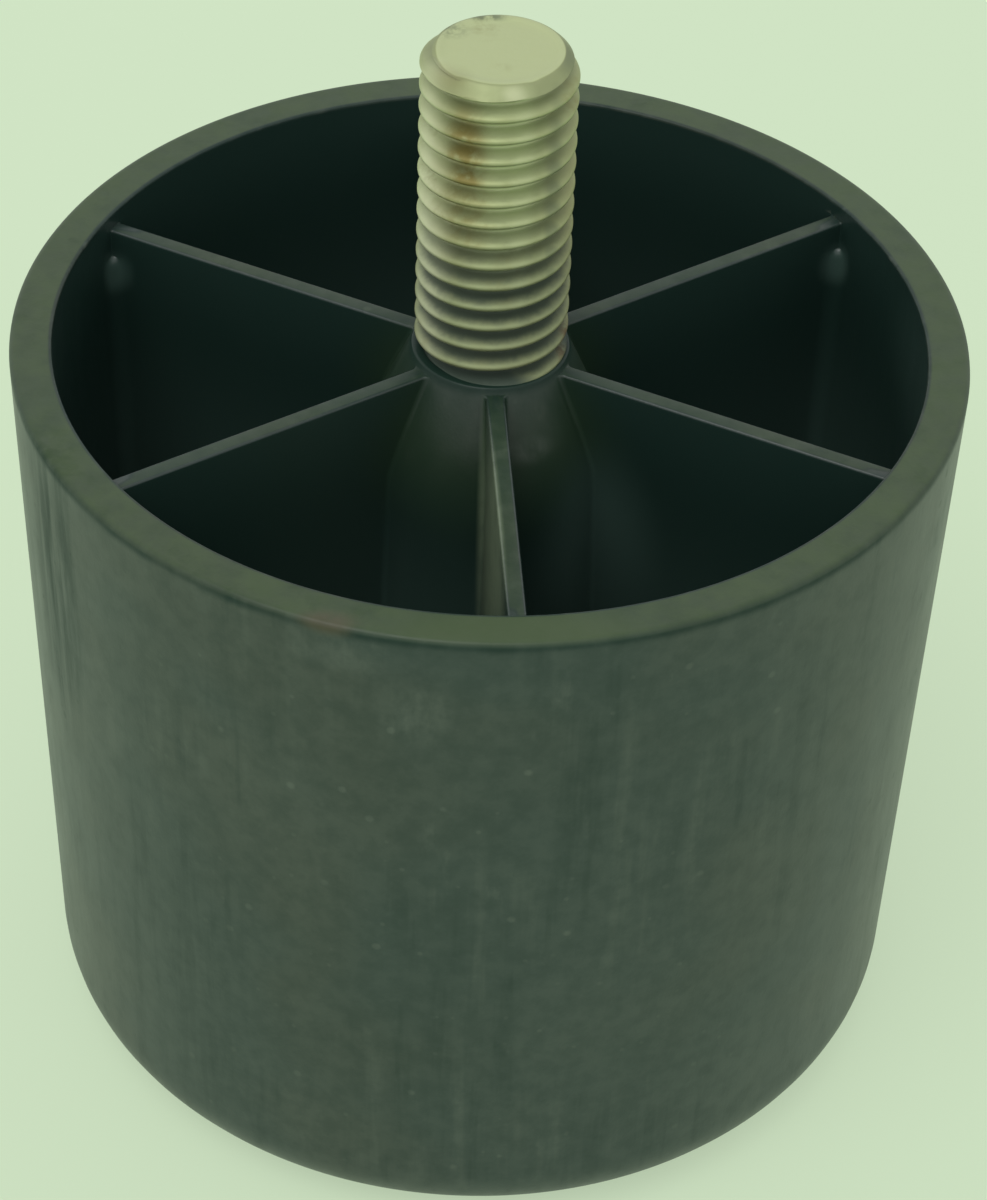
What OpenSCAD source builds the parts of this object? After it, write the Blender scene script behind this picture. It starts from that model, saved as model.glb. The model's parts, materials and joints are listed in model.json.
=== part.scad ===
// Short round furniture leg: a tapered moulded cup with radial ribs, a central boss
// and a threaded stud that is moulded into the boss.
// The leg stands on its flat foot at z = 0, on the z axis, with the open end and the stud up.
// The first rib points along -y. All lengths are in millimetres, all angles in degrees.

/* [Cup] */
// Diameter across the rim, the widest part of the leg
rim_d = 50; // [40:0.5:80]
// Height from the foot to the rim
leg_h = 43; // [32:0.5:80]
// Draft of the cup's wall, from upright, so that the leg narrows towards its foot
wall_draft = 1.8; // [0.5:0.1:4]
// Thickness of the cup's wall, measured level
wall_t = 2.2; // [1.4:0.1:4]
// Thickness of the cup's floor
floor_t = 3; // [2:0.1:6]
// Radius of the rounded edge around the foot
foot_round = 4.2; // [1:0.1:7]
// Radius of the rounded corner between the floor and the wall, inside the cup
floor_round = 2; // [0.5:0.1:4]
// Radius of the small round along the rim's outer edge
rim_round = 0.3; // [0.1:0.05:0.8]

/* [Ribs] */
// Number of ribs between the boss and the wall
rib_count = 6; // [3:1:8]
// Thickness of a rib at its top edge
rib_t = 0.95; // [0.6:0.05:2]
// Draft of each side of a rib, from upright, so that it is thicker at the floor
rib_draft = 0.5; // [0.1:0.1:1.5]
// Depth of the ribs' top edges below the rim
rib_drop = 0.9; // [0.8:0.05:4]
// Radius of the upright rounded corner between a rib and the wall
corner_round = 0.8; // [0.4:0.05:1.5]
// Depth of the corners' tops below the ribs' top edges
corner_drop = 1.6; // [0.5:0.1:4]

/* [Boss] */
// Depth of the boss's top below the rim
boss_drop = 0.55; // [0:0.05:0.7]
// Width of the flat ring at the boss's top, around the stud
boss_lip = 0.5; // [0.4:0.05:2]
// Height of the boss's conical shoulder
shoulder_h = 5.5; // [1:0.1:8]
// How far the shoulder widens the boss, in radius
shoulder_w = 2.4; // [0.6:0.05:3]
// Draft of the boss below its shoulder, from upright
boss_draft = 2; // [0.2:0.1:3]

/* [Stud] */
// Outer diameter of the thread
stud_d = 8; // [6:0.5:12]
// Pitch of the thread, which sets the diameter of the plain shank that it is rolled on
thread_pitch = 1.25; // [0.75:0.05:2]
// Length of the stud that stands out above the rim
stud_out = 17.25; // [8:0.25:50]
// Depth and width of the chamfer at the stud's tip
tip_chamfer = 0.75; // [0.4:0.05:2]
// Length of bare shank between the boss's top and the thread's run-out
neck_h = 0.05; // [0.05:0.05:3]
// Length of the stud below the boss's top
anchor_depth = 18; // [10:0.5:26]
// Height of the six-sided collar that keeps the stud from turning in the boss
collar_h = 4; // [2:0.5:8]
// How far the collar's corners stand out past the shank
collar_out = 1; // [0.5:0.05:1.4]
// Gap all round between the hidden shank and collar and the plastic
fit_clearance = 0.02; // [0.01:0.01:0.1]

/* [Hidden] */
$fn = 96;
leg_colour = [0.2, 0.24, 0.21];
stud_colour = [0.7, 0.73, 0.57];
// How far a cut runs past the face that it opens
overrun = 1;
// Share of the pitch by which a rolled thread's blank is smaller than its thread
blank_share = 0.65;
collar_sides = 6;
// Share of a corner's radius by which its ends sink into the rib and the wall
corner_sink_share = 0.06;

rim_r = rim_d / 2;
rib_top_z = leg_h - rib_drop;
rib_foot_z = floor_t - overrun;
boss_top_z = leg_h - boss_drop;
shoulder_z = boss_top_z - shoulder_h;
tip_z = leg_h + stud_out;
stud_foot_z = boss_top_z - anchor_depth;

stud_r = stud_d / 2;
shank_r = stud_r - blank_share * thread_pitch / 2;
run_out = stud_r - shank_r;
thread_z = boss_top_z + neck_h + run_out;
collar_r = shank_r + collar_out;
seat_r = shank_r + fit_clearance;
boss_top_r = seat_r + boss_lip;
boss_r = boss_top_r + shoulder_w;

// Radius of the cup's outer wall at a height, before its edges are rounded
function wall_r(z) = rim_r - (leg_h - z) * tan(wall_draft);

// Distance from the wall's foot corner back to the centre of a round that touches wall and floor
function round_inset(r) = r / cos(wall_draft) - r * tan(wall_draft);

// Half section of a drafted bowl with a rounded foot edge, filled to the axis
module bowl_section(foot_z, top_z, inset, edge_r) {
    centre_x = wall_r(foot_z) - inset - round_inset(edge_r);
    centre_z = foot_z + edge_r;
    polygon([
        [0, foot_z],
        [centre_x, foot_z],
        [centre_x + edge_r * cos(wall_draft), centre_z - edge_r * sin(wall_draft)],
        [wall_r(top_z) - inset, top_z],
        [0, top_z],
    ]);
    translate([centre_x, centre_z]) circle(r = edge_r);
}

// Sharp corner outside the round along the rim's outer edge
module rim_corner_section() {
    centre_x = wall_r(leg_h - rim_round) - rim_round / cos(wall_draft);
    centre_z = leg_h - rim_round;
    difference() {
        polygon([
            [centre_x, centre_z],
            [centre_x + rim_round * cos(wall_draft), centre_z - rim_round * sin(wall_draft)],
            [rim_r + overrun, centre_z],
            [rim_r + overrun, leg_h + overrun],
            [centre_x, leg_h + overrun],
        ]);
        translate([centre_x, centre_z]) circle(r = rim_round);
    }
}

// Outside of the leg as a solid block
module cup_block() {
    rotate_extrude() difference() {
        bowl_section(0, leg_h, 0, foot_round);
        rim_corner_section();
    }
}

// Space inside the cup, open past the rim
module cup_space() {
    rotate_extrude() bowl_section(floor_t, leg_h + overrun, wall_t, floor_round);
}

// Half of a rib's thickness at a height
function rib_half(z) = rib_t / 2 + (rib_top_z - z) * tan(rib_draft);

// One upright plate from the axis out through the wall, thicker towards the floor
module rib() {
    rotate([90, 0, 0]) linear_extrude(height = rim_r) polygon([
        [-rib_half(rib_foot_z), rib_foot_z],
        [rib_half(rib_foot_z), rib_foot_z],
        [rib_half(rib_top_z), rib_top_z],
        [-rib_half(rib_top_z), rib_top_z],
    ]);
}

// Filling of the upright corner between a rib's side and the wall, which ends below the rib's top,
// with a round face that leans with the drafts of both
module rib_corner() {
    reach = corner_round * (1 - corner_sink_share);
    centre_x = rib_half(rib_top_z) + reach;
    centre_y = sqrt(pow(wall_r(rib_top_z) - wall_t - reach, 2) - pow(centre_x, 2));
    filled = corner_round + rib_t / 2;
    depth = rib_top_z - rib_foot_z;
    translate([centre_x, -centre_y, rib_top_z]) rotate([wall_draft, -rib_draft, 0]) difference() {
        translate([-filled, -filled, -depth]) cube([filled, filled, depth - corner_drop]);
        translate([0, 0, -depth - overrun]) cylinder(r = corner_round, h = depth + overrun);
    }
}

// All the ribs with their corners
module ribs() {
    for (i = [0 : rib_count - 1]) rotate([0, 0, i * 360 / rib_count]) {
        rib();
        rib_corner();
        mirror([1, 0, 0]) rib_corner();
    }
}

// Drafted column with a conical shoulder, from below the floor to the stud
module boss() {
    foot_r = boss_r + (shoulder_z - rib_foot_z) * tan(boss_draft);
    rotate_extrude() polygon([
        [0, rib_foot_z],
        [foot_r, rib_foot_z],
        [boss_r, shoulder_z],
        [boss_top_r, boss_top_z],
        [0, boss_top_z],
    ]);
}

// What stands inside the cup, joined at the axis
module spider() {
    union() {
        ribs();
        boss();
    }
}

// Collar at the foot of the stud, or with a gap the space that it fills
module collar(gap) {
    translate([0, 0, stud_foot_z]) cylinder(r = collar_r + gap, h = collar_h + gap, $fn = collar_sides);
}

// Space in the boss for the stud's hidden end
module stud_seat() {
    translate([0, 0, stud_foot_z]) cylinder(r = seat_r, h = anchor_depth + overrun);
    collar(fit_clearance);
}

// The moulded cup with its ribs and boss
module leg_body() {
    color(leg_colour) difference() {
        cup_block();
        difference() {
            cup_space();
            spider();
        }
        stud_seat();
    }
}

// The steel stud: shank, thread run out, thread at its outer diameter, chamfered tip and collar
module threaded_stud() {
    color(stud_colour) {
        rotate_extrude() polygon([
            [0, stud_foot_z],
            [shank_r, stud_foot_z],
            [shank_r, thread_z - run_out],
            [stud_r, thread_z],
            [stud_r, tip_z - tip_chamfer],
            [stud_r - tip_chamfer, tip_z],
            [0, tip_z],
        ]);
        collar(0);
    }
}

leg_body();
threaded_stud();
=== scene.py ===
"""Short round furniture leg: a moulded cup with ribs and a boss, and a threaded stud in it"""

import json
import math
from types import SimpleNamespace

import bmesh
import bpy
from bpy.props import FloatProperty, FloatVectorProperty, IntProperty, PointerProperty
from bpy.types import NodeSocket, Operator, Panel, PropertyGroup, Scene
from mathutils import Matrix, Vector


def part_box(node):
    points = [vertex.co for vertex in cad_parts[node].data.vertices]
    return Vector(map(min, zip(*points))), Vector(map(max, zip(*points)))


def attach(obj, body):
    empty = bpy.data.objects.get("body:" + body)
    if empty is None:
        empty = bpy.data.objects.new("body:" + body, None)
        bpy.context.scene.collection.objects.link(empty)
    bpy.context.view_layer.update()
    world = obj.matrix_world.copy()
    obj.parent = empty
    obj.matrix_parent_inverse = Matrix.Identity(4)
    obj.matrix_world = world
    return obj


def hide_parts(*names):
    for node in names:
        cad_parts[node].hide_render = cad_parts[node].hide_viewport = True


bl_info = {
    "name": "Furniture leg",
    "version": (1, 0, 0),
    "blender": (4, 5, 0),
    "location": "View3D > Sidebar > Furniture leg",
    "description": "Makes a moulded furniture leg with ribs, a boss and a threaded stud",
    "category": "Add Mesh",
}

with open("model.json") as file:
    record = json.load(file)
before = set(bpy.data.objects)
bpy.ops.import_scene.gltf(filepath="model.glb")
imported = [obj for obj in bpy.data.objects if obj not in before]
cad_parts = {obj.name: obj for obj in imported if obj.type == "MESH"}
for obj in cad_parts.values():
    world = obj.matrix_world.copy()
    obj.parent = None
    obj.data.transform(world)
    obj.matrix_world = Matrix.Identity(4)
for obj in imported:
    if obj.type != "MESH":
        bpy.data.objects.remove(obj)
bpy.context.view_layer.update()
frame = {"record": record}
LEG_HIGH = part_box("leg_body")[1]
STUD_LOW, STUD_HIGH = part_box("threaded_stud")
STUD_MOUNT = next(mount for mount in frame["record"]["mounts"] if mount["name"] == "stud")

MM = 0.001
QUARTER_TURN = math.pi / 2
# Points closer than this are one point
WELD = 0.001 * MM
# Edges with a sharper bend than this stay crisp
CRISP_ANGLE = math.radians(34)
NODE_GAP = 190

# Steps of the leg's mesh: round one cell, along its ribs and in its rounds
WALL_STEPS = 36
CORNER_STEPS = 6
RIB_STEPS = 12
BOSS_STEPS = 16
EDGE_STEPS = 4
FOOT_STEPS = 12
FLOOR_STEPS = 6
CELL_ROWS = 14
WALL_ROWS = 12

# Rows of the inner wall above the ribs, of a cell above its corners' heads, and of the boss's cone
BROW_ROWS = 2
HEAD_ROWS = 3
CONE_ROWS = 3
# Where rows lie on the foot, on a cell's floor and on the stud's tip, as shares of the way out
SOLE_SHARES = (0, 0.3, 0.6, 0.9, 0.99)
FLOOR_SHARES = (0.97, 0.7, 0.35, 0)
FACE_SHARES = (0.85, 0.6, 0.3, 0)

# Wear of the foot and the wall, of the rim's edges, of the ribs' tops and of the rim
WALL_WEAR = 0.5
EDGE_WEAR = 0.6
RIB_WEAR = 0.75
RIM_WEAR = 1.0
# Wear of the boss below its shoulder and at its top, and the fading's reach as a share of the shoulder
BOSS_WEAR = 0.16
BOSS_TOP_WEAR = 0.36
BOSS_FADE_SHARE = 1.2

# Steps of the stud's mesh: round it, and up one turn of its thread
STUD_STEPS = 144
TURN_STEPS = 20
# Level of the plate on the crests and on the tip's face, where a groove's is 0
CREST_LEVEL = 1.0
FACE_LEVEL = 1.5
# Section of the tip's soft edge, outward and down, and the width of its band, as shares of its size
TIP_EDGE_SHARES = ((1, 1), (0.5, 0.55), (0, 0.2), (-0.7, 0), (-1.6, 0.05), (-2.4, 0.3))
TIP_BAND_SHARE = 3.2
# Depth of the tip's dish in its middle, as a share of its depth at the edge
DISH_MIDDLE_SHARE = 0.7
# Dents along the tip's edge: side in degrees, reach and depth
DENTS = (
    (-168, 0.5 * MM, 0.1 * MM),
    (-150, 0.55 * MM, 0.16 * MM),
    (-137, 0.4 * MM, 0.1 * MM),
    (-64, 0.35 * MM, 0.06 * MM),
)


def mm(*lengths):
    """Lengths given in millimetres"""
    return [part * MM for part in lengths]


# Marks on the leg's wall: side in degrees, depth below the rim, and reach along each axis
WALL_MARKS = {
    "cool_front": (-84, 21 * MM, mm(14, 9, 24)),
    "front_rub": (-92, 0, mm(15, 6, 2)),
    "brown_mark": (-112, 0, mm(2.2, 1.3, 1)),
    "rim_scuff": (-111, 2 * MM, mm(3.4, 3, 1.2)),
    "side_scuff": (-101.5, 4.9 * MM, mm(2.2, 3, 2.6)),
    "side_streak": (-146, 14 * MM, mm(2.4, 2.4, 7)),
    # A darker, duller patch down the left side
    "side_grime": (-156, 8.5 * MM, mm(2.6, 4.6, 14)),
}
# Marks inside the cup: x, y and depth below the rim, and reach along each axis
CUP_MARKS = {
    # Painted light on the inner wall at the right, just below the rim
    "wall_film": (mm(22.5, -1.5, 3.5), mm(3, 8, 6)),
    # Painted light on the left side of the front rib
    "rib_film": (mm(-0.62, -13.5, 7), mm(0.5, 11, 16)),
    "boss_oil": (mm(0, 0, 5), mm(9.5, 9.5, 7.5)),
    # Painted lift on the boss's front right: lighter colour standing in for a haze of light
    "boss_film": (mm(5.5, -4.5, 12), mm(4.5, 5, 9)),
    "boss_smudge": (mm(1.9, -5.2, 3.8), mm(1.7, 1.5, 0.9)),
}
# Painted highlight on the corners' heads: in from the wall, out from the rib's middle and down, and its
# reach
HEAD_GLINT_IN, HEAD_GLINT_OUT, HEAD_GLINT_DOWN = mm(0.4, 0.85, 0.9)
HEAD_GLINT_REACH = mm(1.3, 1, 1.7)
# Reach of the painted shade on the boss's top
BOSS_SHADE_REACH = mm(9, 9, 0.7)
# Depths below the rim between which a painted lift lightens the cells' plastic against their shade, and the
# dark line under the rim sets in from each side
LIFT_DEPTHS = mm(5, 20)
LINE_FOOT_DEPTHS = mm(0.85, 0.45)
LINE_TOP_DEPTHS = mm(0.16, 0.3)
# Heights above the foot between which its film thickens
FOOT_FILM_HEIGHTS = mm(11, 1)

# Marks round the stud: side in degrees, depth below the tip, and reach along each axis
STUD_MARKS = {
    # Painted highlight: a light band down the front
    "front_band": (-75, 6.25 * MM, mm(0.9, 1.5, 12)),
    # Painted light in the grooves at the front, lifting their shade
    "wiped": (-86, 5.25 * MM, mm(3.4, 3, 8)),
    # Painted highlight down the left edge
    "left_edge": (-154, 9.25 * MM, mm(2.2, 2.2, 14)),
    # Painted highlight on the chamfer's front
    "bared_edge": (-82, 0, mm(1.1, 0.9, 0.9)),
    "left_side": (-128, 6.25 * MM, mm(2.6, 2.6, 8)),
    "left_stain": (-118, 3.65 * MM, mm(1.5, 1.8, 3.6)),
    "lower_stain": (-108, 7.75 * MM, mm(1.4, 1.6, 2.2)),
    "edge_stain": (-142, 0, mm(2, 1.8, 1)),
    # Painted shade down the front right and on the chamfer's right
    "shaded_side": (-47, 8.25 * MM, mm(0.8, 0.9, 11)),
    "shaded_edge": (-8, 0, mm(2, 2.6, 1)),
}
# Bands down the stud: x, y and depth below the tip, and reach along each axis
STUD_BANDS = {
    # Painted highlight down the left side
    "bright": (mm(-4.2, -1.2, 8.25), mm(1.7, 3.6, 13)),
    "stained": (mm(6, -1.2, 9.25), mm(4, 3.6, 12)),
}
# Darker marks on the tip's face, at the back along its edge: as round the stud, and how far in from the
# edge
TIP_MARKS = {
    "back_left": (142, 0, mm(1.5, 1.1, 0.2)),
    "back": (100, 0, mm(1.6, 0.5, 0.2)),
}
TIP_MARK_IN = 0.2 * MM
# Marks where the stud meets the boss: as round the stud, but with depths below the rim
SEAT_MARKS = {
    # Where the painted shadow and grime at the seat are left off
    "bared": (-40, 0, mm(2.6, 2.4, 2)),
    "rusty": (-18, -0.3 * MM, mm(1.3, 1.6, 1.5)),
}
# Heights above the rim between which the thread's grooves darken towards the bottom, and the painted shadow
# with grime at the boss sets in
THREAD_DARKENING_HEIGHTS = mm(10, 4.5)
SEAT_SHADOW_AND_GRIME_HEIGHTS = mm(0.45, 0.15)

# Depths of the grain and scuffs in the plastic, and of the rubs and spots in the plate
GRAIN_DEPTH, SCUFF_DEPTH, RUB_DEPTH, SPOT_DEPTH = mm(0.005, 0.015, 0.008, 0.02)

# Sides of the round floor, and the share of its colour that its darker patches keep
FLOOR_SIDES = 96
FLOOR_PATCH_SHARE = 0.985
# What is closer to the camera than this isn't seen
NEAREST_SEEN = 10 * MM


def length(name, description, default):
    """A size in metres that a user can change"""
    return FloatProperty(name=name, description=description, default=default, precision=5, unit="LENGTH")


def angle(name, description, degrees):
    """An angle that a user can change"""
    return FloatProperty(name=name, description=description, default=math.radians(degrees), subtype="ANGLE")


def share(name, description, default):
    """A share from 0 to 1 that a user can change"""
    return FloatProperty(
        name=name, description=description, default=default, min=0, max=1, subtype="FACTOR"
    )


def colour(name, description, default):
    """A colour that a user can change"""
    return FloatVectorProperty(
        name=name, description=description, default=default, size=3, min=0, max=1, subtype="COLOR"
    )


class LegSizes(PropertyGroup):
    """Sizes of the moulded leg"""

    rim_radius: length("Rim radius", "Radius of the rim, the widest part of the leg", LEG_HIGH.x)
    height: length("Height", "Height from the foot to the rim", LEG_HIGH.z)
    wall_draft: angle("Wall draft", "Lean of the wall from upright", 1.8)
    wall_thickness: length("Wall thickness", "Thickness of the wall, measured level", 2.2 * MM)
    floor_thickness: length("Floor thickness", "Thickness of the floor", 3 * MM)
    foot_round: length("Foot round", "Radius of the round along the foot's edge", 4.2 * MM)
    floor_round: length("Floor round", "Radius of the round between floor and wall", 2 * MM)
    rim_round: length("Rim round", "Radius of the round along the rim's outer edge", 0.3 * MM)
    rim_lip: length("Rim lip", "Radius of the round along the rim's inner edge", 0.12 * MM)
    rib_count: IntProperty(name="Ribs", description="Number of ribs", default=6, min=3)
    rib_thickness: length("Rib thickness", "Thickness of a rib at its top", 0.95 * MM)
    rib_draft: angle("Rib draft", "Lean of a rib's sides from upright", 0.5)
    rib_drop: length("Rib drop", "Depth of the ribs' tops below the rim", 0.9 * MM)
    rib_edge: length("Rib edge", "Radius of the round along a rib's top edges", 0.15 * MM)
    wall_corner: length("Wall corner", "Radius of the corner between rib and wall", 0.8 * MM)
    corner_drop: length("Corner drop", "Depth of the corners' heads below the ribs' tops", 1.6 * MM)
    corner_head: length("Corner head", "Height of the rounded head of a corner", 0.7 * MM)
    bare_corner: length("Bare corner", "Radius between rib and wall above a corner's head", 0.1 * MM)
    boss_corner: length("Boss corner", "Radius of the corner between rib and boss", 0.3 * MM)
    boss_drop: length("Boss drop", "Depth of the boss's top below the rim", 0.55 * MM)
    boss_lip: length("Boss lip", "Width of the flat ring round the stud", 0.5 * MM)
    boss_edge: length("Boss edge", "Radius of the round along the boss's top edge", 0.15 * MM)
    boss_draft: angle("Boss draft", "Lean of the boss below its shoulder", 2)
    shoulder_height: length("Shoulder height", "Height of the boss's shoulder", 5.5 * MM)
    shoulder_width: length("Shoulder width", "How far the shoulder widens the boss", 2.4 * MM)
    shoulder_ease: length("Shoulder ease", "Reach of the soft bend under the shoulder", 0.8 * MM)


class StudSizes(PropertyGroup):
    """Sizes of the threaded stud"""

    radius: length("Radius", "Outer radius of the thread", STUD_MOUNT["dims"]["r_mm"] * MM)
    pitch: length("Pitch", "Rise of the thread in one turn", 1.25 * MM)
    tip_height: length("Tip height", "Height of the stud's tip above the foot", STUD_HIGH.z)
    foot_height: length("Foot height", "Height of the stud's hidden end above the foot", STUD_LOW.z)
    depth_share: share("Thread depth", "Depth of the thread as a share of its pitch", 0.6134)
    blank_share: share("Blank", "Share of the pitch by which the plain shank is smaller", 0.65)
    crest_share: share("Crest", "Share of half a turn over which the crest is level", 0.05)
    root_share: share("Root", "Share of half a turn over which the root is level", 0.05)
    crest_height: length("Crest height", "Height of a crest of the thread on its marked side", 43.54 * MM)
    crest_side: angle("Crest side", "Side on which the crest's height is given", -94.6)
    tip_chamfer: length("Tip chamfer", "Width and height of the chamfer at the tip", 0.75 * MM)
    tip_edge: length("Tip edge", "Size of the soft edge between chamfer and tip", 0.15 * MM)
    tip_dish: length("Tip dish", "Depth of the hollow in the tip's face", 0.09 * MM)
    seat_sink: length("Seat sink", "How far the thread runs on below the boss's top", 0.05 * MM)
    collar_height: length("Collar height", "Height of the hidden six-sided collar", 4 * MM)
    collar_out: length("Collar reach", "How far the collar's corners pass the shank", 1 * MM)
    fit_gap: length("Fit gap", "Gap between the hidden shank and the plastic", 0.02 * MM)


class LegFinish(PropertyGroup):
    """Colours of the moulded plastic"""

    clean: colour("Clean plastic", "Plastic in the cells, out of reach", (0.0118, 0.0295, 0.0232))
    # Painted lift: lighter plastic standing in for light deep in the cells, and the colour of the painted
    # light and highlights inside the cup
    painted_lift: colour("Settled dust", "Plastic deep in the cells, dulled by dust", (0.042, 0.078, 0.064))
    handled: colour("Handled plastic", "Dulled plastic of the wall", (0.0165, 0.0355, 0.0295))
    warm: colour("Warm plastic", "Browner patches of the wall", (0.0235, 0.0385, 0.0285))
    dusty: colour("Dusty plastic", "Pale film, scuffs and specks", (0.075, 0.098, 0.077))
    rubbed: colour("Rubbed plastic", "Plastic rubbed bare along the edges", (0.053, 0.084, 0.037))
    # Painted light: the pale colour of the front rib's left side
    film: colour("Film", "Pale film on the side of the front rib", (0.2, 0.26, 0.16))
    oily: colour("Oily plastic", "Olive tint of the boss round the stud", (0.021, 0.042, 0.016))
    brown: colour("Brown mark", "Rust rubbed on to the rim", (0.078, 0.073, 0.045))


class StudFinish(PropertyGroup):
    """Colours of the stud's plating"""

    plate: colour("Plate", "Straw-tinted zinc plate on the crests", (0.35, 0.4, 0.19))
    groove: colour("Groove", "Dull plate in the thread's grooves", (0.265, 0.3, 0.155))
    # Also the colour of the painted highlights down the stud and of the painted light in its front grooves
    face: colour("Face", "Cleaner plate on the tip's face and where it is wiped", (0.475, 0.54, 0.29))
    # Painted highlight: the colour of the highlights down the left edge and on the chamfer's front
    highlight_plate: colour("Bare", "Brightest plate, on the tip's edge and one side", (0.6, 0.645, 0.4))
    stain: colour("Stain", "Brown stain on the plate", (0.21, 0.18, 0.052))
    rust: colour("Rust", "Rust where the stud meets the boss", (0.13, 0.075, 0.028))
    # Grime, and also painted shadow at the boss and painted shade down the front right
    dirt_and_shade: colour("Dirt", "Dark dirt above the boss and along the tip's edge", (0.02, 0.042, 0.034))


class StageLook(PropertyGroup):
    """Floor, lights and camera"""

    floor: colour("Floor", "Colour of the pale floor", (0.638, 0.783, 0.558))
    floor_radius: length("Floor radius", "Radius of the floor", 2.5)
    floor_evening: share("Floor evening", "How far the floor's shadows are lifted in the picture", 0.66)
    sky: colour("Sky", "Colour of the soft light from all round", (1, 1, 1))
    sky_strength: FloatProperty(name="Sky strength", description="Strength of the soft light", default=0.8)
    window_place: FloatVectorProperty(
        name="Window place", description="Place of the overhead light",
        default=(-0.25, -0.36, 0.8), subtype="XYZ", unit="LENGTH",
    )
    window_size: length("Window size", "Diameter of the overhead light", 0.6)
    window_power: FloatProperty(name="Window power", description="Power of the light in watts", default=2.4)
    camera_out: length("Camera distance", "Level distance from the leg's axis to the camera", 165.1 * MM)
    camera_height: length("Camera height", "Height of the camera above the floor", 163.2 * MM)
    camera_side: angle("Camera side", "Turn of the camera about the leg from straight in front", -4.6)
    camera_tilt: angle("Camera tilt", "How far the camera looks down", 39.97)
    camera_pan: angle("Camera pan", "How far the camera looks past the axis", 0.23)
    camera_roll: angle("Camera roll", "Turn of the camera about its own line of sight", 2.15)
    lens: FloatProperty(
        name="Lens", description="Focal length in millimetres", default=117.24, subtype="DISTANCE_CAMERA"
    )


class FurnitureLegSettings(PropertyGroup):
    """All that a user can change"""

    leg: PointerProperty(type=LegSizes)
    stud: PointerProperty(type=StudSizes)
    leg_finish: PointerProperty(type=LegFinish)
    stud_finish: PointerProperty(type=StudFinish)
    stage: PointerProperty(type=StageLook)


# Node trees

def add_node(tree, kind, inputs=None, **options):
    """Adds a node, sets its options, and sets or links its inputs by name or number"""
    node = tree.nodes.new(kind)
    node.location.x = NODE_GAP * len(tree.nodes)
    for option, value in options.items():
        setattr(node, option, value)
    for key, value in (inputs or {}).items():
        if isinstance(value, NodeSocket):
            tree.links.new(value, node.inputs[key])
        else:
            node.inputs[key].default_value = value
    return node


def calc(tree, operation, *terms):
    """A sum of the node tree"""
    return add_node(tree, "ShaderNodeMath", dict(enumerate(terms)), operation=operation).outputs[0]


def remap(tree, value, low, high, to_low=0.0, to_high=1.0, interpolation="SMOOTHSTEP"):
    """Takes a value from one range to another and holds it there"""
    inputs = {"Value": value, "From Min": low, "From Max": high, "To Min": to_low, "To Max": to_high}
    return add_node(tree, "ShaderNodeMapRange", inputs, interpolation_type=interpolation).outputs[0]


def blend(tree, factor, first, second):
    """Mixes two colours, each a socket or a colour"""
    first, second = (
        item if isinstance(item, NodeSocket) else (*item, 1.0)
        for item in (first, second)
    )
    inputs = {0: factor, 6: first, 7: second}
    return add_node(tree, "ShaderNodeMix", inputs, data_type="RGBA").outputs[2]


def fitted(tree, place, scale, start):
    """A place scaled along each axis, then moved"""
    inputs = {0: place, 1: scale, 2: start}
    return add_node(tree, "ShaderNodeVectorMath", inputs, operation="MULTIPLY_ADD").outputs[0]


def noise(tree, place, per_mm, detail, roughness=0.55, stretch=(1, 1, 1), start=(0, 0, 0)):
    """Soft noise with so many features to the millimetre, stretched where a scale is less than 1"""
    scale = [per_mm / MM * part for part in stretch]
    moved = fitted(tree, place, scale, start)
    inputs = {"Vector": moved, "Scale": 1.0, "Detail": detail, "Roughness": roughness}
    return add_node(tree, "ShaderNodeTexNoise", inputs).outputs[0]


def new_material(name):
    """A material with an empty tree, its shader and its object coordinates"""
    material = bpy.data.materials.new(name)
    material.use_nodes = True
    tree = material.node_tree
    tree.nodes.clear()
    shader = add_node(tree, "ShaderNodeBsdfPrincipled")
    add_node(tree, "ShaderNodeOutputMaterial", {"Surface": shader.outputs[0]})
    place = add_node(tree, "ShaderNodeTexCoord").outputs["Object"]
    return material, tree, shader, place


def connect(tree, shader, **links):
    """Links sockets to the shader's inputs, with _ for a space in a name"""
    for name, socket in links.items():
        tree.links.new(socket, shader.inputs[name.replace("_", " ")])


def bump(tree, height, depth, below=None):
    """Raises a surface by a height from 0 to 1 times a depth"""
    inputs = {"Height": height, "Distance": depth, "Strength": 1.0}
    if below:
        inputs["Normal"] = below
    return add_node(tree, "ShaderNodeBump", inputs).outputs[0]


def spot(tree, place, centre, reach):
    """Soft spot about a point, 1 in its middle and 0 at its reach along each axis"""
    scale = [1 / part for part in reach]
    moved = [-middle / part for middle, part in zip(centre, reach)]
    near = fitted(tree, place, scale, moved)
    away = add_node(tree, "ShaderNodeVectorMath", {0: near}, operation="LENGTH").outputs["Value"]
    return remap(tree, away, 1.0, 0.25)


def placed_marks(tree, place, top, marks):
    """Soft spots by their names, each at x, y and a depth below the top"""
    made = {}
    for name, ((x, y, depth), reach) in marks.items():
        made[name] = spot(tree, place, (x, y, top - depth), reach)
    return SimpleNamespace(**made)


def round_marks(tree, place, radius, top, marks):
    """Soft spots on a round surface by their names, each on a side and a depth below the top"""
    placed = {}
    for name, (degrees, depth, reach) in marks.items():
        turn = math.radians(degrees)
        placed[name] = ((radius * math.cos(turn), radius * math.sin(turn), depth), reach)
    return placed_marks(tree, place, top, placed)


def specks(tree, place, per_mm, size, kept):
    """Small round specks at random places, a share of them kept"""
    cells = add_node(tree, "ShaderNodeTexVoronoi", {"Vector": place, "Scale": per_mm / MM}).outputs
    chance = add_node(tree, "ShaderNodeSeparateColor", {0: cells["Color"]}).outputs["Red"]
    near = remap(tree, cells["Distance"], size, size * 0.4)
    return calc(tree, "MULTIPLY", near, calc(tree, "LESS_THAN", chance, kept))


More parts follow.
